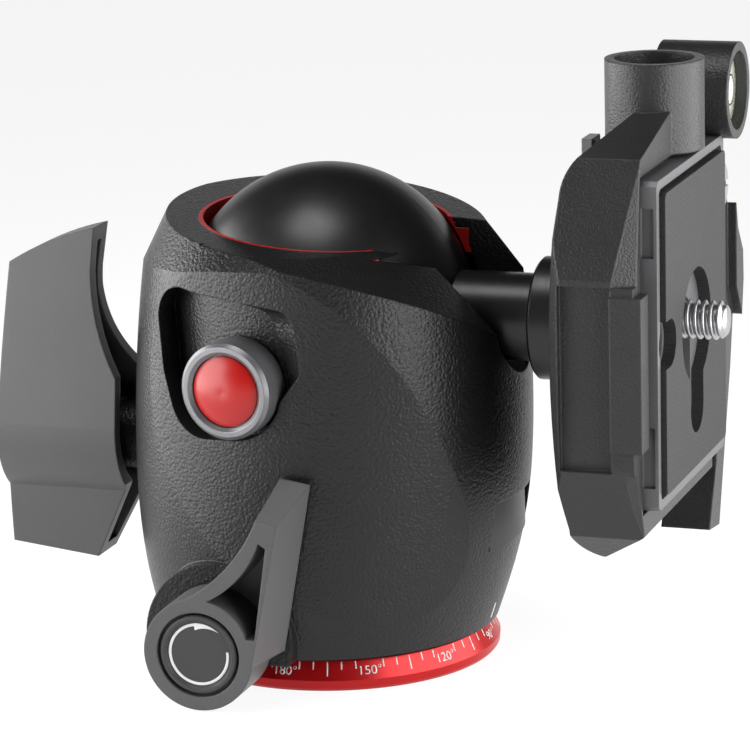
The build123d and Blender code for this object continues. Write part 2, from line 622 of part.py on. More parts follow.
def face_plane(x, z):
    """Plane across the stem's direction on the plate's middle line."""
    return Plane((x, PLATE_Y, z), x_dir=(0, 1, 0), z_dir=(1, 0, 0))


def plate_body():
    """Aluminium camera plate: bevelled edges, sunk face, slot for the screw."""
    low_z = PLATE_Z - PLATE_LENGTH / 2
    section = make_face(Polyline(*[(x, y, low_z) for x, y in plate_section()], close=True))
    body = extrude(section, PLATE_LENGTH, dir=(0, 0, 1))
    body = chamfer(body.edges().filter_by(Axis.X).sort_by(Axis.X)[-4:], 0.8)
    outline = RectangleRounded(PLATE_WIDTH - 3.0, PLATE_LENGTH - 3.0, 1.0)
    body -= extrude(face_plane(PLATE_FACE_X, PLATE_Z) * outline, -PAD_SINK)
    # slot for the screw, and the hollow underside that takes its head and ring
    slot_z = PLATE_Z - SCREW_TRAVEL / 2
    slot = SlotCenterToCenter(SCREW_TRAVEL, 7.0, rotation=90)
    body -= extrude(face_plane(PLATE_FACE_X, slot_z) * slot, -14)
    body -= extrude(face_plane(51.6, slot_z) * SlotCenterToCenter(SCREW_TRAVEL, 17.2, rotation=90), 4.6)
    # side notches for the jaw, and the finger scoop by the rim
    side_y = PLATE_Y - PLATE_WIDTH / 2
    for low, high in ((36.0, 45.7), (72.7, 80.5)):
        body -= block((58.8, 60.8), (side_y - 1, side_y + 0.6), (low, high))
    scoop_y = side_y + 4.1
    return body - rod(3.4, (PLATE_FACE_X - 2.2, scoop_y, PLATE_Z), (PLATE_FACE_X + 1, scoop_y, PLATE_Z))


def plate_pad():
    """Rubber pad sunk in the plate's face, open round the screw and its slot."""
    back_x = PLATE_FACE_X - PAD_SINK
    outline = RectangleRounded(PLATE_WIDTH - 4.4, PLATE_LENGTH - 4.4, 1.0)
    pad = extrude(face_plane(back_x, PLATE_Z) * outline, PAD_FACE_X - back_x)
    ring_z, slot_end_z = 57.6, 44.0
    pad -= extrude(face_plane(back_x, ring_z) * Circle(9.3), 3)
    slot = SlotCenterToCenter(ring_z - slot_end_z, 8.2, rotation=90)
    pad -= extrude(face_plane(back_x, (ring_z + slot_end_z) / 2) * slot, 3)
    scoop = Pos(-PLATE_WIDTH / 2 + 1, 0) * SlotCenterToCenter(7.2, 7.6)
    return pad - extrude(face_plane(back_x, PLATE_Z) * scoop, 3)


def camera_screw():
    """Quarter-inch screw with a slotted head under the plate."""
    head, shank = 7.6, 3.0
    solid = turned([
        (0, 52.6), (head, 52.6), (head, 55.2), (shank, 55.2), (shank, 60.7), (CAMERA_SCREW_R, 60.9),
        (CAMERA_SCREW_R, 66.6), (2.6, 67.3), (0, 67.3),
    ])
    solid -= block((-8, 8), (-0.7, 0.7), (52.5, 53.6))
    return face_plane(0, PLATE_Z).location * solid


def screw_ring():
    """Folding wire ring on the screw's head."""
    return face_plane(0, PLATE_Z).location * turned([(5.4, 51.7), (7.0, 51.7), (7.0, 52.5), (5.4, 52.5)])


def screw_washer():
    """Spring washer that keeps the screw in its slot."""
    return face_plane(0, PLATE_Z).location * turned([(3.05, 56.6), (3.45, 56.6), (3.45, 57.4), (3.05, 57.4)])


# ---------------------------------------------------------------- release lever
def release_lever():
    """Cam lever: pivot eye, hooked lip on the plate, long finger arm."""
    low, high = CLAMP_FLOOR_X + 0.3, 58.6
    arm = slab([
        (30.0, 80.5), (34.5, 76.0), (37.0, 66.0), (40.5, 61.5), (40.8, 56.5), (37.6, 42.0), (29.4, 16.2),
        (22.6, 17.0), (27.4, 27.0), (30.0, 42.0), (28.6, 56.0), (23.4, 60.0), (23.4, 72.0), (24.4, 79.5),
    ], (low, high))
    finger = slab([(37.6, 42.0), (29.4, 16.2), (22.6, 17.0), (27.6, 27.5), (32.6, 42.0)], (50.2, low))
    lip = slab([(23.5, 60.4), (21.3, 62.0), (21.3, 69.0), (23.5, 71.0)], (55.6, 57.3))
    thumb = slab([
        (35.8, 70.5), (37.0, 66.0), (40.5, 61.5), (40.8, 56.5), (39.6, 50.5), (36.0, 56.0),
    ], (high, 60.2))
    eye = rod(2.6 + FIT, (40, LEVER_PIVOT_Y, LEVER_PIVOT_Z), (70, LEVER_PIVOT_Y, LEVER_PIVOT_Z))
    return arm + finger + lip + thumb - eye


def lever_pivot():
    """Shoulder screw that the release lever turns on."""
    y, z = LEVER_PIVOT_Y, LEVER_PIVOT_Z
    screw = rod(2.4, (47.2, y, z), (CLAMP_FLOOR_X, y, z)) + rod(2.6, (CLAMP_FLOOR_X, y, z), (58.8, y, z))
    screw += rod(3.9, (58.8, y, z), (60.0, y, z))
    return screw - block((59.4, 61), (y - 5, y + 5), (z - 0.5, z + 0.5))


def safety_catch():
    """Small secondary lever that blocks the main one."""
    tab = slab([(-2.6, -2.3), (-2.6, 2.1), (2.4, 2.1), (3.4, -1.3), (1.8, -3.3)], (CATCH_X, CATCH_X + 1.7))
    pin = rod(1.45, (CATCH_X + 1.7, CATCH_Y, CATCH_Z), (50.0, CATCH_Y, CATCH_Z))
    return Pos(0, CATCH_Y, CATCH_Z) * tab + pin


def trigger_pin():
    """Spring pin in the bed, held down by the plate."""
    y, z = 13.0, 68.0
    return rod(1.65, (47.6, y, z), (CLAMP_FLOOR_X + 0.15, y, z))


keep("scale_ring", scale_ring())
keep("base_plate", base_plate())
keep("tripod_bush", tripod_bush())
keep("pan_spindle", pan_spindle())
keep("base_screws", base_screws())
keep("spindle_clip", spindle_clip())
keep("thrust_washer", thrust_washer())
keep("housing", housing())
keep("socket_liner", socket_liner())
keep("ball_cup", ball_cup())
keep("cup_spring", cup_spring())
keep("label_plate", label_plate())
keep("lock_plunger", lock_plunger())
keep("knob_grip", knob_grip())
keep("knob_shaft", knob_shaft())
keep("knob_screw", knob_screw())
keep("friction_dial", friction_dial())
keep("friction_cap", friction_cap())
keep("friction_shaft", friction_shaft())
keep("pan_lever", pan_lever())
keep("pan_lever_cap", pan_lever_cap())
keep("pan_lever_screw", pan_lever_screw())
keep("front_grip_plug", grip_plug(-9.5, -1.0))
keep("rear_grip_plug", grip_plug(1.0, 9.5))
keep("ball", ball())
keep("stem", stem())
keep("clamp_bolt", clamp_bolt())
keep("clamp_body", clamp_body())
keep("portrait_vial", vial((UP_VIAL_X, UP_VIAL_Y, 90.6), (UP_VIAL_X, UP_VIAL_Y, 96.6)))
keep("landscape_vial", vial((53, VIAL_Y, VIAL_Z), (62.2, VIAL_Y, VIAL_Z)))
keep("plate_body", plate_body())
keep("plate_pad", plate_pad())
keep("camera_screw", camera_screw())
keep("screw_ring", screw_ring())
keep("screw_washer", screw_washer())
keep("release_lever", release_lever())
keep("lever_pivot", lever_pivot())
keep("safety_catch", safety_catch())
keep("trigger_pin", trigger_pin())

for name, shape in nodes.items():
    export_step(shape, f"parts/{name}.step")
    print(name, round(shape.volume, 1))
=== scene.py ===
import json
import math

import bmesh
import bpy
from mathutils import Matrix, Vector


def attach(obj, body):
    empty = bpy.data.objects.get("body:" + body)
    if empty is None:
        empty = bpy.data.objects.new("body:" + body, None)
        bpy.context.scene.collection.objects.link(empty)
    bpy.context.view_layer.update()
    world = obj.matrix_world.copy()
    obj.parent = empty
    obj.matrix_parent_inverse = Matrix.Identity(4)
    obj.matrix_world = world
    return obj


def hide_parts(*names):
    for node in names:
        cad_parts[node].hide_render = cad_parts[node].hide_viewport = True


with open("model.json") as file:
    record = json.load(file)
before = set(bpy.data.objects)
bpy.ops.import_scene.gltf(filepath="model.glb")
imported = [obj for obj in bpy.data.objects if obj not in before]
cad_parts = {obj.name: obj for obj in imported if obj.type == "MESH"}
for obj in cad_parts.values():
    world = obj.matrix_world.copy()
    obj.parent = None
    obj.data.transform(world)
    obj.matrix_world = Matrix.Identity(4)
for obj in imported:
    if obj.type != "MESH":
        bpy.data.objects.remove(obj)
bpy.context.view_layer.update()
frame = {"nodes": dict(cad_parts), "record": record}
mm = 0.001  # sizes below are in millimetres

# azimuth from -Y towards +X and elevation at which the camera stands, and the lean of the picture,
# in degrees; distance, target, lens, sensor and near limit in mm
camera = {"azimuth": 19.067, "elevation": 13.662, "roll": -1.496, "distance": 640.472,
          "target": (7.716, 0, 46.431), "lens": 186.5, "sensor": 36, "near": 10}


def placeCamera(c):
    az, el, roll = (math.radians(c[k]) for k in ("azimuth", "elevation", "roll"))
    back = Vector((math.sin(az) * math.cos(el), -math.cos(az) * math.cos(el), math.sin(el)))
    right = Vector((math.cos(az), math.sin(az), 0))
    up = back.cross(right)
    turnedRight = right * math.cos(roll) + up * math.sin(roll)
    turnedUp = up * math.cos(roll) - right * math.sin(roll)
    place = (Vector(c["target"]) + back * c["distance"]) * mm
    data = bpy.data.cameras.new("camera")
    data.lens, data.sensor_width, data.clip_start = c["lens"], c["sensor"], c["near"] * mm
    cam = bpy.data.objects.new("camera", data)
    bpy.context.collection.objects.link(cam)
    cam.matrix_world = Matrix.Translation(place) @ Matrix((turnedRight, turnedUp, back)).transposed().to_4x4()
    bpy.context.scene.camera = cam


placeCamera(camera)

# three upright softboxes stand on the floor round the object and one hangs over it: bearing from -Y
# towards +X in degrees, distance, height of the middle, width and height in mm, and brightness
# against white paper
softboxes = {
    "leftBox": {"bearing": -72, "far": 220, "middle": 105, "size": (400, 210), "glow": 5.4},
    "rightBox": {"bearing": 88, "far": 240, "middle": 105, "size": (400, 210), "glow": 5.2},
    "backBox": {"bearing": 190, "far": 1700, "middle": 330, "size": (2400, 660), "glow": 0.8},
    "overBox": {"bearing": -20, "far": 130, "middle": 600, "size": (260, 220), "glow": 7.0, "down": True},
}


def placeSoftboxes(boxes):
    for name, c in boxes.items():
        bearing = math.radians(c["bearing"])
        spot = Vector((math.sin(bearing) * c["far"], -math.cos(bearing) * c["far"], c["middle"]))
        data = bpy.data.lights.new(name, "AREA")
        data.shape = "RECTANGLE"
        data.size, data.size_y = c["size"][0] * mm, c["size"][1] * mm
        data.energy = c["glow"] * math.pi * data.size * data.size_y
        lamp = bpy.data.objects.new(name, data)
        bpy.context.collection.objects.link(lamp)
        lamp.location = spot * mm
        look = -spot if c.get("down") else Vector((-spot.x, -spot.y, 0))
        lamp.rotation_euler = look.to_track_quat("-Z", "Y").to_euler()
        lamp.visible_camera = False


placeSoftboxes(softboxes)
bpy.context.scene.view_settings.view_transform = "Standard"
print("camera and softboxes placed")


class Wire:
    # one output socket of a node; sums on it add Math nodes
    def __init__(self, paint, socket):
        self.paint, self.socket = paint, socket

    def sums(self, job, *parts):
        return self.paint.add("ShaderNodeMath", {"operation": job}, dict(enumerate(parts)))

    def __add__(self, other):
        return self.sums("ADD", self, other)

    def __radd__(self, other):
        return self.sums("ADD", other, self)

    def __sub__(self, other):
        return self.sums("SUBTRACT", self, other)

    def __rsub__(self, other):
        return self.sums("SUBTRACT", other, self)

    def __mul__(self, other):
        return self.sums("MULTIPLY", self, other)

    def __rmul__(self, other):
        return self.sums("MULTIPLY", other, self)

    def wave(self):
        return self.sums("SINE", self)


class Paint:
    # a material with one Principled shader
    def __init__(self, name, **fixed):
        self.material = bpy.data.materials.new(name)
        self.material.use_nodes = True
        self.nodes, self.links = self.material.node_tree.nodes, self.material.node_tree.links
        self.shader = next(n for n in self.nodes if n.type == "BSDF_PRINCIPLED")
        for key, value in fixed.items():
            self.shader.inputs[key.replace("_", " ")].default_value = value

    def add(self, kind, settings, sockets, output=0):
        # any node: its settings first, then the values or wires of its sockets
        node = self.nodes.new(kind)
        for key, value in settings.items():
            setattr(node, key, value)
        for key, value in sockets.items():
            if isinstance(value, Wire):
                self.links.new(value.socket, node.inputs[key])
            else:
                node.inputs[key].default_value = value
        return Wire(self, node.outputs[output])

    def place(self):
        # the point on the object in metres
        return self.add("ShaderNodeTexCoord", {}, {}, "Object")

    def along(self, axis):
        return self.add("ShaderNodeSeparateXYZ", {}, {0: self.place()}, axis)

    def stretched(self, stretch):
        return self.add("ShaderNodeVectorMath", {"operation": "MULTIPLY"}, {0: self.place(), 1: stretch})

    def noise(self, size, detail=2.0, roughness=0.5, stretch=(1, 1, 1)):
        # size is the width of one blotch in mm
        return self.add("ShaderNodeTexNoise", {}, {"Vector": self.stretched(stretch), "Scale": 1000 / size,
                                                   "Detail": detail, "Roughness": roughness})

    def cells(self, size, softness):
        return self.add("ShaderNodeTexVoronoi", {"feature": "SMOOTH_F1"},
                        {"Vector": self.place(), "Scale": 1000 / size, "Smoothness": softness})

    def rays(self, kind):
        return self.add("ShaderNodeLightPath", {}, {}, kind)

    def blend(self, share, first, second):
        # colours go through one Mix node
        return self.add("ShaderNodeMix", {"data_type": "RGBA"}, {0: share, 6: first, 7: second}, 2)

    def feed(self, name, wire):
        self.links.new(wire.socket, self.shader.inputs[name])

    def relief(self, height, depth, edge):
        # depth and edge radius in mm
        rounded = self.add("ShaderNodeBevel", {"samples": 6}, {"Radius": edge * mm})
        sockets = {"Height": height, "Distance": depth * mm, "Normal": rounded}
        self.feed("Normal", self.add("ShaderNodeBump", {}, sockets))


def grey(level, blue=1.03):
    # blue is how much more of it there is than of red and green
    return (level, level, level * blue, 1)


def dimmed(colour, share):
    return tuple(v * share for v in colour[:3]) + (1,)


# in every finish, widths, depths and edge radii are in mm; rough is the middle roughness and
# swing how far it goes from smooth to rough
leather = {"grain": 0.52, "depth": 0.11, "edge": 0.35, "rough": 0.36, "swing": 0.3, "shine": 0.36,
           "dark": 0.006, "light": 0.014, "soft": 0.5, "ripple": 0.9, "rippleUp": 0.9, "pebbleUp": 0.7,
           "cloud": 9}


def leatherCoat(name, c):
    # pebbled paint: rounded cells, lifted and made paler by a ripple that runs over them
    paint = Paint(name, Specular_IOR_Level=c["shine"])
    pebbles = paint.cells(c["grain"], c["soft"])
    ripple = paint.noise(c["grain"] * c["ripple"], roughness=0.6)
    height = ripple * c["rippleUp"] - pebbles * c["pebbleUp"]
    paint.relief(height, c["depth"], c["edge"])
    shade = paint.noise(c["cloud"], detail=3.0) * 0.5 + ripple * 0.5
    paint.feed("Base Color", paint.blend(shade, grey(c["dark"]), grey(c["light"])))
    paint.feed("Roughness", c["rough"] + (ripple - 0.5) * c["swing"])
    return paint.material


moulded = {"grain": 0.3, "depth": 0.035, "edge": 0.4, "rough": 0.42, "swing": 0.25, "level": 0.085,
           "shades": (0.82, 1.18), "shine": 0.3, "cloud": 14}


def mouldedPlastic(name, c):
    # spark-eroded mould finish
    paint = Paint(name, Specular_IOR_Level=c["shine"])
    pits = paint.noise(c["grain"], roughness=0.65)
    paint.relief(pits, c["depth"], c["edge"])
    cloud = paint.noise(c["cloud"])
    dark, light = (grey(c["level"] * share) for share in c["shades"])
    paint.feed("Base Color", paint.blend(cloud * 0.5 + pits * 0.5, dark, light))
    paint.feed("Roughness", c["rough"] + (pits - 0.5) * c["swing"])
    return paint.material


satin = {"colour": (0.008, 0.008, 0.009, 1), "rough": 0.3, "swing": 0.08, "metallic": 0.0, "edge": 0.2,
         "cloud": 2.5, "dim": 0.78, "grain": 0.16, "depth": 0.004}


def satinMetal(name, c):
    # anodised or blackened metal with faint clouding and rounded edges
    paint = Paint(name, Metallic=c["metallic"])
    cloud = paint.noise(c["cloud"], detail=3.0)
    paint.feed("Base Color", paint.blend(cloud, dimmed(c["colour"], c["dim"]), c["colour"]))
    paint.feed("Roughness", c["rough"] + (cloud - 0.5) * c["swing"])
    paint.relief(paint.noise(c["grain"]), c["depth"], c["edge"])
    return paint.material


turned = {"colour": (0.01, 0.01, 0.011, 1), "rough": 0.34, "swing": 0.2, "metallic": 0.0, "axis": "X",
          "pitch": 0.22, "depth": 0.006, "edge": 0.2, "dim": 0.7, "drawn": 0.02}


def turnedMetal(name, c):
    # lathe lines run round the axis, so they change only along it; drawn is how little they change across
    paint = Paint(name, Metallic=c["metallic"])
    across = tuple(1 if axis == c["axis"] else c["drawn"] for axis in "XYZ")
    lines = paint.noise(c["pitch"], detail=3.0, roughness=0.7, stretch=across)
    paint.feed("Base Color", paint.blend(lines, dimmed(c["colour"], c["dim"]), c["colour"]))
    paint.feed("Roughness", c["rough"] + (lines - 0.5) * c["swing"])
    paint.relief(lines, c["depth"], c["edge"])
    return paint.material


rubber = {"pitch": 0.62, "depth": 0.12, "edge": 0.15, "rough": 0.62, "level": 0.014, "shades": (0.6, 1.4),
          "speck": 0.2, "ridgeUp": 0.6, "speckUp": 0.5}


def padRubber(name, c):
    # two crossed sets of ridges at 45 degrees on the face that looks along X
    paint = Paint(name, Roughness=c["rough"])
    rate = 2000 * math.pi / c["pitch"] / math.sqrt(2)  # radians of wave for a metre along Y or Z
    acrossY, acrossZ = paint.along("Y") * rate, paint.along("Z") * rate
    weave = (acrossY + acrossZ).wave() * 0.5 + (acrossY - acrossZ).wave() * 0.5
    specks = paint.noise(c["speck"])
    paint.relief(weave * c["ridgeUp"] + specks * c["speckUp"], c["depth"], c["edge"])
    dark, light = (grey(c["level"] * share) for share in c["shades"])
    paint.feed("Base Color", paint.blend(specks, dark, light))
    return paint.material


enamel = {"colour": (0.5, 0.008, 0.008, 1), "rough": 0.34, "swing": 0.06, "edge": 0.2,
          "cloud": 4, "dim": 0.86, "grain": 0.35, "depth": 0.003}


def smoothPlastic(name, c):
    # evenly coloured plastic or paint with faint flow clouds
    paint = Paint(name)
    cloud = paint.noise(c["cloud"], detail=3.0)
    paint.feed("Base Color", paint.blend(cloud, dimmed(c["colour"], c["dim"]), c["colour"]))
    paint.feed("Roughness", c["rough"] + (cloud - 0.5) * c["swing"])
    paint.relief(paint.noise(c["grain"]), c["depth"], c["edge"])
    return paint.material


liquid = {"colour": (0.7, 0.74, 0.6, 1), "deep": (0.5, 0.55, 0.4, 1), "rough": 0.1, "swing": 0.04,
          "cloud": 5, "glassRough": 0.02}


def levelLiquid(name, c):
    # tinted, faintly clouded liquid behind clear plastic
    paint = Paint(name, Coat_Weight=1.0, Coat_Roughness=c["glassRough"])
    cloud = paint.noise(c["cloud"], detail=1.0)
    paint.feed("Base Color", paint.blend(cloud, c["deep"], c["colour"]))
    paint.feed("Roughness", c["rough"] + cloud * c["swing"])
    return paint.material


# each finish: the function that makes it, its settings, and what is changed in them
recipes = {
    "housingCoat": (leatherCoat, leather, {}),
    "clampCoat": (leatherCoat, leather,
                  {"grain": 0.36, "depth": 0.07, "edge": 0.45, "dark": 0.015, "light": 0.03}),
    "gripPlastic": (mouldedPlastic, moulded, {}),
    "capPlastic": (mouldedPlastic, moulded, {"level": 0.045, "depth": 0.02}),
    "ballBlack": (satinMetal, satin, {"rough": 0.36}),
    "stemBlack": (turnedMetal, turned, {}),
    "redAnodised": (satinMetal, satin, {"colour": (0.52, 0.005, 0.007, 1), "metallic": 0.45, "rough": 0.33}),
    "redPlastic": (smoothPlastic, enamel, {"rough": 0.42}),
    "redDome": (smoothPlastic, enamel, {"colour": (0.42, 0.008, 0.006, 1), "rough": 0.3}),
    "dialGrey": (turnedMetal, turned, {"colour": (0.2, 0.2, 0.21, 1), "metallic": 0.6, "axis": "Y"}),
    "steel": (turnedMetal, turned, {"colour": (0.56, 0.56, 0.57, 1), "metallic": 1.0}),
    "blackSteel": (satinMetal, satin, {"colour": (0.035, 0.035, 0.037, 1), "metallic": 0.6}),
    "brass": (turnedMetal, turned, {"colour": (0.6, 0.43, 0.18, 1), "metallic": 1.0, "axis": "Z"}),
    "plateGrey": (satinMetal, satin, {"colour": (0.12, 0.12, 0.125, 1), "metallic": 0.2, "rough": 0.4}),
    "padRubber": (padRubber, rubber, {}),
    "labelBlack": (smoothPlastic, enamel, {"colour": (0.008, 0.008, 0.009, 1), "rough": 0.4}),
    "whitePlastic": (smoothPlastic, enamel, {"colour": (0.72, 0.72, 0.72, 1), "rough": 0.5}),
    "vialClear": (levelLiquid, liquid, {}),
    "bubbleClear": (levelLiquid, liquid, {"colour": (0.85, 0.88, 0.8, 1), "deep": (0.7, 0.74, 0.62, 1)}),
}
finishes = {name: make(name, {**settings, **changes}) for name, (make, settings, changes) in recipes.items()}

slotFinish = {
    "black_coat": "housingCoat", "clamp_coat": "clampCoat", "red_anodised": "redAnodised",
    "steel": "steel", "black_steel": "blackSteel", "brass": "brass", "white_plastic": "whitePlastic",
    "red_plastic": "redPlastic", "red_gloss": "redDome", "label_black": "labelBlack",
    "grip_plastic": "gripPlastic", "cap_plastic": "capPlastic", "dial_grey": "dialGrey",
    "ball_black": "ballBlack", "stem_black": "stemBlack", "vial_clear": "vialClear",
    "plate_grey": "plateGrey", "pad_rubber": "padRubber",
}


def dressNodes():
    for part in frame["record"]["subparts"]:
        node = frame["nodes"][part["node"]]
        for nodeSlot in node.material_slots:
            nodeSlot.material = finishes[slotFinish[part["material_slot"]]]


dressNodes()
print("nodes dressed")


def makePiece(name, bm, finish, body, smooth=True):
    mesh = bpy.data.meshes.new(name)
    bmesh.ops.recalc_face_normals(bm, faces=bm.faces)
    bm.to_mesh(mesh)
    bm.free()
    for face in mesh.polygons:
        face.use_smooth = smooth
    mesh.materials.append(finishes[finish])
    piece = bpy.data.objects.new(name, mesh)
    bpy.context.collection.objects.link(piece)
    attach(piece, body)
    return piece


def partWay(first, last, i, steps):
    return first + (last - first) * i / steps


def sideWalls(bm, lower, upper):
    # faces between two outlines with the same number of points, and the points' rows
    rows = [[bm.verts.new(p) for p in outline] for outline in (lower, upper)]
    count = len(lower)
    for i in range(count):
        j = (i + 1) % count
        bm.faces.new((rows[0][i], rows[0][j], rows[1][j], rows[1][i]))
    return rows


def prism(bm, lower, upper):
    low, high = sideWalls(bm, lower, upper)
    bm.faces.new(low[::-1])
    bm.faces.new(high)


def turnsRound(around):
    return [2 * math.pi * i / around for i in range(around)]


def turnRound(bm, profile, spot, around):
    # profile of (height along the axis, radius); radius 0 closes an end
    rings = []
    for along, r in profile:
        turns = [0] if r == 0 else turnsRound(around)
        rings.append([bm.verts.new(spot(along, r, turn)) for turn in turns])
    for first, second in zip(rings, rings[1:]):
        for i in range(around):
            j = (i + 1) % around
            corners = []
            for ring, k in ((first, i), (first, j), (second, j), (second, i)):
                v = ring[k % len(ring)]
                if v not in corners:
                    corners.append(v)
            bm.faces.new(corners)


# the scale's band is a cone: radius and height of its upper and lower edge in mm, the azimuth from
# +X at which zero stands, degrees from number to number, and how far marks stand out and reach in
scale = {"top": (25.9, 4.8), "low": (27.3, 1.8), "zero": 90.5, "numberStep": 30, "lift": 0.035, "sink": 0.08}
# degrees from tick to tick and from long tick to long tick; gap above, lengths and width in mm
ticks = {"step": 5, "longStep": 15, "start": 0.15, "short": 1.3, "long": 2.35, "width": 0.22}


def onBand(down, azimuth, out):
    # the point this far down the slant from the upper edge and out of the surface
    topR, topZ = scale["top"]
    lowR, lowZ = scale["low"]
    slant = math.hypot(lowR - topR, topZ - lowZ)
    outR, outZ = (topZ - lowZ) / slant, (lowR - topR) / slant
    r = topR + (lowR - topR) * down / slant + outR * out
    z = topZ - (topZ - lowZ) * down / slant + outZ * out
    turn = math.radians(azimuth)
    return Vector((r * math.cos(turn), r * math.sin(turn), z)) * mm


def buildTicks(c):
    bm = bmesh.new()
    half = math.degrees(c["width"] / 2 / scale["top"][0])
    for value in range(0, 360, c["step"]):
        if value % scale["numberStep"] == 0:
            continue
        end = c["start"] + (c["long"] if value % c["longStep"] == 0 else c["short"])
        middle = scale["zero"] - value
        corners = ((c["start"], -half), (c["start"], half), (end, half), (end, -half))
        prism(bm, [onBand(down, middle + side, -scale["sink"]) for down, side in corners],
              [onBand(down, middle + side, scale["lift"]) for down, side in corners])
    makePiece("scaleTicks", bm, "whitePlastic", "base", smooth=False)


# height of the digits, gap above them, how much wider they are drawn, and the flat text's thickness
numbers = {"tall": 1.5, "gap": 0.95, "wide": 1.02, "thick": 0.05}


def buildNumbers(c):
    # flat text bent round the band
    bm = bmesh.new()
    for value in range(0, 360, scale["numberStep"]):
        text = bpy.data.curves.new("digits", "FONT")
        text.body, text.size, text.align_x, text.extrude = str(value) + "°", 1.0, "CENTER", c["thick"]
        holder = bpy.data.objects.new("digits", text)
        flat = bpy.data.meshes.new_from_object(holder)
        digitTop = max(v.co.y for v in flat.vertices)
        unit = c["tall"] / digitTop
        ringR = scale["top"][0]
        for v in flat.vertices:
            azimuth = scale["zero"] - value + math.degrees(v.co.x * unit * c["wide"] / ringR)
            down = c["gap"] + c["tall"] - v.co.y * unit
            v.co = onBand(down, azimuth, scale["lift"] if v.co.z > 0 else -scale["sink"])
        bm.from_mesh(flat)
        bpy.data.objects.remove(holder)
        bpy.data.curves.remove(text)
        bpy.data.meshes.remove(flat)
    makePiece("scaleNumbers", bm, "whitePlastic", "base", smooth=False)


# azimuth from +X in degrees; lower and upper end, width, radius of the housing there and the radius
# from which it is looked at, in mm
mark = {"azimuth": -3.6, "low": 6.7, "high": 9.3, "width": 0.5, "radius": 27, "lookFrom": 60, "rows": 8,
        "lift": 0.04, "sink": 0.12}


def buildIndexMark(c):
    # found on the housing by looking in along the radius
    housing = frame["nodes"]["housing"]
    bm = bmesh.new()
    rows = c["rows"]
    lower, upper = [], []
    half = math.degrees(c["width"] / 2 / c["radius"])
    for side in (-1, 1):
        turn = math.radians(c["azimuth"] + side * half)
        way = Vector((math.cos(turn), math.sin(turn), 0))
        edge = []
        for i in range(rows):
            z = partWay(c["low"], c["high"], i, rows - 1)
            _, spot, normal, _ = housing.ray_cast(way * c["lookFrom"] * mm + Vector((0, 0, z * mm)), -way)
            edge.append((spot, normal))
        if side > 0:
            edge.reverse()
        lower += [spot - normal * c["sink"] * mm for spot, normal in edge]
        upper += [spot + normal * c["lift"] * mm for spot, normal in edge]
    last = len(lower) - 1
    for row in sideWalls(bm, lower, upper):
        for i in range(rows - 1):
            bm.faces.new((row[i], row[i + 1], row[last - 1 - i], row[last - i]))
    makePiece("indexMark", bm, "whitePlastic", "housing", smooth=False)


buildTicks(ticks)
buildNumbers(numbers)
buildIndexMark(mark)
print("scale and index mark built")

# ring and head of the turning arrow on the lever's cap, in mm; angles in degrees from +X
# towards +Z as seen from the front
arrow = {"middle": (-9.1, -40.5, 9.5), "radius": 4.9, "width": 0.45, "from": 98, "to": 368, "steps": 60,
         "outer": 5.15, "inner": 4.0, "tip": (5.1, 48), "headSteps": 10, "lift": 0.05, "sink": 0.1}


def buildArrow(c):
    midX, faceY, midZ = c["middle"]

    def spot(r, angle, out):
        turn = math.radians(angle)
        return Vector((midX + r * math.cos(turn), faceY - out, midZ + r * math.sin(turn))) * mm

    bm = bmesh.new()
    inner, outer = c["radius"] - c["width"] / 2, c["radius"] + c["width"] / 2
    section = ((inner, -c["sink"]), (inner, c["lift"]), (outer, c["lift"]), (outer, -c["sink"]))
    steps = c["steps"]
    rings = []
    for i in range(steps + 1):
        angle = partWay(c["from"], c["to"], i, steps)
        rings.append([bm.verts.new(spot(r, angle, out)) for r, out in section])
    for first, second in zip(rings, rings[1:]):
        for k in range(4):
            bm.faces.new((first[k], first[(k + 1) % 4], second[(k + 1) % 4], second[k]))
    bm.faces.new(rings[0])
    bm.faces.new(rings[-1][::-1])

    tipR, tipAngle = c["tip"]
    headSteps = c["headSteps"]

    def flank(footR, i):
        # the i-th point from the ring's end at this radius to the tip
        return partWay(footR, tipR, i, headSteps), partWay(c["from"], tipAngle, i, headSteps)

    outline = [flank(c["inner"], i) for i in range(headSteps)]
    outline += [flank(c["outer"], i) for i in range(headSteps, -1, -1)]
    prism(bm, [spot(r, angle, -c["sink"]) for r, angle in outline],
          [spot(r, angle, c["lift"]) for r, angle in outline])
    makePiece("turnArrow", bm, "whitePlastic", "pan_lever", smooth=False)


buildArrow(arrow)
print("turning arrow built")

# quarter-inch thread along +X from start to end, its pitch and its core and crest radius in mm; a
# ridge's height over one pitch is ridge less flank times the distance from its middle, held to 0..1
screw = {"middle": (0.4, 58.45), "around": 56, "pitch": 1.27, "perTurn": 14, "core": 2.52, "crest": 3.17,
         "start": 60.1, "end": 67.0, "fade": 0.7, "ridge": 1.35, "flank": 3.6, "tip": 67.3, "tipShare": 0.88}
# X of the head's underside and top, its radius, the radius of the shank and how far that reaches
# into the thread, the head's rounded edge with one point on it, and the coin slot
screwHead = {"under": 52.6, "top": 55.2, "radius": 7.6, "shank": 3.0, "overlap": 0.05, "edge": 0.4,
             "edgePoint": (0.15, 0.1), "slotHalf": 0.7, "slotFloor": 53.6, "slotLong": 9, "below": 1}


def screwSpot(x, r, turn):
    midY, midZ = screw["middle"]
    return Vector((x, midY + r * math.cos(turn), midZ + r * math.sin(turn))) * mm


def threadRadius(c, x, share):
    # share is how far round the screw the point stands, from 0 to 1
    phase = ((x - c["start"]) / c["pitch"] - share) % 1
    ridge = min(1.0, max(0.0, c["ridge"] - abs(phase - 0.5) * c["flank"]))
    fade = min(1.0, (c["end"] - x) / c["fade"])
    return c["core"] + (c["crest"] - c["core"]) * ridge * fade


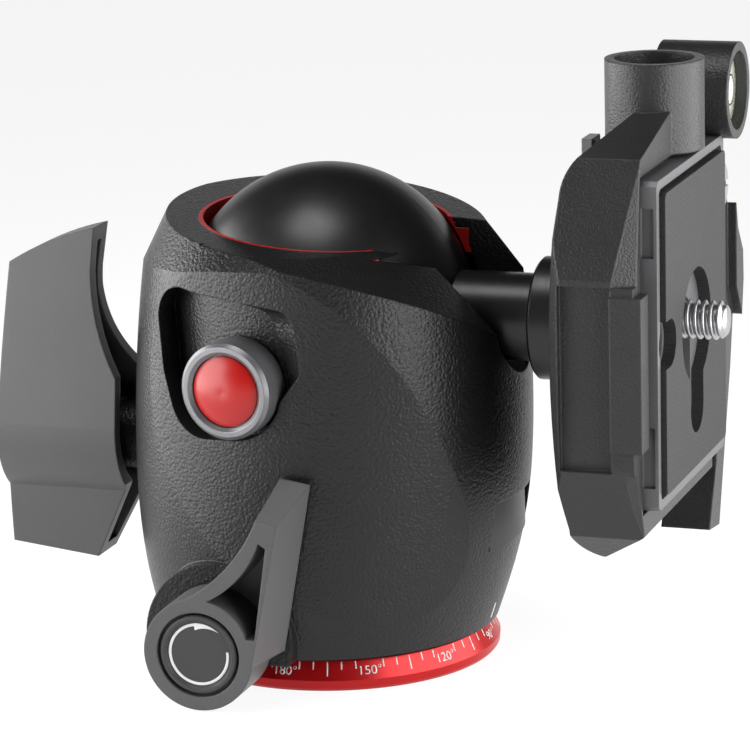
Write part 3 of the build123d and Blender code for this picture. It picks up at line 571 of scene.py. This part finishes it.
def turnThread(bm, c):
    around = c["around"]
    turns = turnsRound(around)
    steps = int((c["end"] - c["start"]) / c["pitch"] * c["perTurn"])
    rings = []
    for s in range(steps + 1):
        x = partWay(c["start"], c["end"], s, steps)
        ring = [screwSpot(x, threadRadius(c, x, i / around), turn) for i, turn in enumerate(turns)]
        rings.append([bm.verts.new(p) for p in ring])
    rings.append([bm.verts.new(screwSpot(c["tip"], c["core"] * c["tipShare"], turn)) for turn in turns])
    for first, second in zip(rings, rings[1:]):
        for i in range(around):
            j = (i + 1) % around
            bm.faces.new((first[i], first[j], second[j], second[i]))
    bm.faces.new(rings[0][::-1])
    bm.faces.new(rings[-1])


def turnHead(bm, c):
    under, top, r, edge, shank = c["under"], c["top"], c["radius"], c["edge"], c["shank"]
    pointX, pointR = c["edgePoint"]
    shankEnd = screw["start"] + c["overlap"]
    profile = [(under, 0), (under, r - edge), (under + pointX, r - pointR), (under + edge, r),
               (top - edge, r), (top - pointX, r - pointR), (top, r - edge),
               (top, shank), (shankEnd, shank), (shankEnd, 0)]
    turnRound(bm, profile, screwSpot, screw["around"])


def cutCoinSlot(piece, c):
    # cut into the head from below
    midY, midZ = screw["middle"]
    half, floorX, startX = c["slotHalf"], c["slotFloor"], c["under"] - c["below"]
    outline = [(startX, -half), (floorX, -half), (floorX, half), (startX, half)]
    bm = bmesh.new()
    prism(bm, [Vector((x, midY - c["slotLong"], midZ + z)) * mm for x, z in outline],
          [Vector((x, midY + c["slotLong"], midZ + z)) * mm for x, z in outline])
    bmesh.ops.recalc_face_normals(bm, faces=bm.faces)
    mesh = bpy.data.meshes.new("blade")
    bm.to_mesh(mesh)
    bm.free()
    blade = bpy.data.objects.new("blade", mesh)
    bpy.context.collection.objects.link(blade)
    cut = piece.modifiers.new("slot", "BOOLEAN")
    cut.object, cut.operation, cut.solver = blade, "DIFFERENCE", "EXACT"
    bpy.context.view_layer.update()
    piece.data = bpy.data.meshes.new_from_object(piece.evaluated_get(bpy.context.evaluated_depsgraph_get()))
    piece.modifiers.clear()
    bpy.data.objects.remove(blade)


def buildScrew():
    bm = bmesh.new()
    turnThread(bm, screw)
    turnHead(bm, screwHead)
    piece = makePiece("cameraScrew", bm, "steel", "camera_screw")
    cutCoinSlot(piece, screwHead)
    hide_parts("camera_screw")


buildScrew()
print("camera screw built")

# each level: axis, start and end of the puck along it, and its middle across it, in mm
levels = {
    "landscapeLevel": {"node": "landscape_vial", "axis": "X", "from": 53.0, "to": 62.2, "across": (24.0, 91.6)},
    "portraitLevel": {"node": "portrait_vial", "axis": "Z", "from": 90.6, "to": 96.6, "across": (54.6, 4.0)},
}
# the puck's face rises in a crown inside its flat rim; ringRadii are the steps down to the middle
puck = {"radius": 6.45, "around": 48, "edge": 0.3, "rim": 0.5, "crown": 0.7,
        "ringRadii": (5.2, 4.2, 3.1, 2.0, 1.0, 0)}
ringLine = {"radius": 2.3, "width": 0.3, "lift": 0.04, "sink": 0.1}
bubble = {"radius": 1.9, "lift": 0.05, "rise": 0.12, "sink": 0.3, "shares": (1, 0.93, 0.75, 0.5, 0.25, 0)}


def buildPuck(name, c, spot, crownAt):
    radius, edge, low, face = puck["radius"], puck["edge"], c["from"], c["to"] - puck["crown"]
    domeRadii = (radius - puck["rim"],) + puck["ringRadii"]
    rows = [(low, 0), (low, radius - edge), (low + edge, radius), (face - edge, radius), (face, radius - edge)]
    rows += [(crownAt(r), r) for r in domeRadii]
    bm = bmesh.new()
    turnRound(bm, rows, spot, puck["around"])
    piece = makePiece(name, bm, "vialClear", "clamp")
    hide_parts(c["node"])


def buildRingLine(name, c, spot, crownAt):
    inner, outer = c["radius"], c["radius"] + c["width"]
    bm = bmesh.new()
    rows = [(crownAt(inner) - c["sink"], inner), (crownAt(inner) + c["lift"], inner),
            (crownAt(outer) + c["lift"], outer), (crownAt(outer) - c["sink"], outer)]
    turnRound(bm, rows + rows[:1], spot, puck["around"])
    makePiece(name, bm, "labelBlack", "clamp")


def buildBubble(name, c, spot, crownAt):
    size = c["radius"]
    bm = bmesh.new()
    rows = [(crownAt(0) - c["sink"], 0), (crownAt(size) - c["sink"], size)]
    for r in (size * share for share in c["shares"]):
        rows.append((crownAt(r) + c["lift"] + c["rise"] * (1 - (r / size) ** 2) ** 0.5, r))
    turnRound(bm, rows, spot, puck["around"])
    makePiece(name, bm, "bubbleClear", "clamp")


def buildLevel(name, c):
    def spot(along, r, turn):
        a, b = c["across"][0] + r * math.cos(turn), c["across"][1] + r * math.sin(turn)
        return Vector((along, a, b) if c["axis"] == "X" else (a, b, along)) * mm

    def crownAt(r):
        return c["to"] - puck["crown"] + puck["crown"] * (1 - (r / (puck["radius"] - puck["rim"])) ** 2)

    buildPuck(name, c, spot, crownAt)
    buildRingLine(name + "Ring", ringLine, spot, crownAt)
    buildBubble(name + "Bubble", bubble, spot, crownAt)


for levelName, place in levels.items():
    buildLevel(levelName, place)
print("levels built")

# half the floor's side in metres, the paper's colour and that of its fibres against it, how much of
# the glow the camera and reflections see, its strength, and the world's
studio = {"reach": 30, "white": 0.9, "fibre": 0.985, "fibreWide": 3, "seen": 0.8, "glow": 1.1, "fill": 0.03}


def layFloor(c):
    # to the camera and in reflections the paper is nearly white, with a faint shadow on it
    mesh = bpy.data.meshes.new("floor")
    r = c["reach"]
    mesh.from_pydata([(-r, -r, 0), (r, -r, 0), (r, r, 0), (-r, r, 0)], [], [(0, 1, 2, 3)])
    floor = bpy.data.objects.new("floor", mesh)
    bpy.context.collection.objects.link(floor)
    paint = Paint("floorPaper", Roughness=0.9, Specular_IOR_Level=0.2)
    fibre = paint.noise(c["fibreWide"])
    paint.feed("Base Color", paint.blend(fibre, grey(c["white"] * c["fibre"], 1), grey(c["white"], 1)))
    rays = paint.rays("Is Camera Ray") + paint.rays("Is Glossy Ray") + paint.rays("Is Transmission Ray")
    glow = paint.add("ShaderNodeEmission", {}, {"Color": (1, 1, 1, 1), "Strength": c["glow"]})
    lit = Wire(paint, paint.shader.outputs[0])
    mixed = paint.add("ShaderNodeMixShader", {}, {0: rays * c["seen"], 1: lit, 2: glow})
    ending = next(n for n in paint.nodes if n.type == "OUTPUT_MATERIAL")
    paint.links.new(mixed.socket, ending.inputs["Surface"])
    mesh.materials.append(paint.material)


def setWorld(c):
    world = bpy.data.worlds.new("studio")
    bpy.context.scene.world = world
    world.use_nodes = True
    background = world.node_tree.nodes["Background"].inputs
    background["Color"].default_value = (1, 1, 1, 1)
    background["Strength"].default_value = c["fill"]


layFloor(studio)
setWorld(studio)
print("floor and world made")
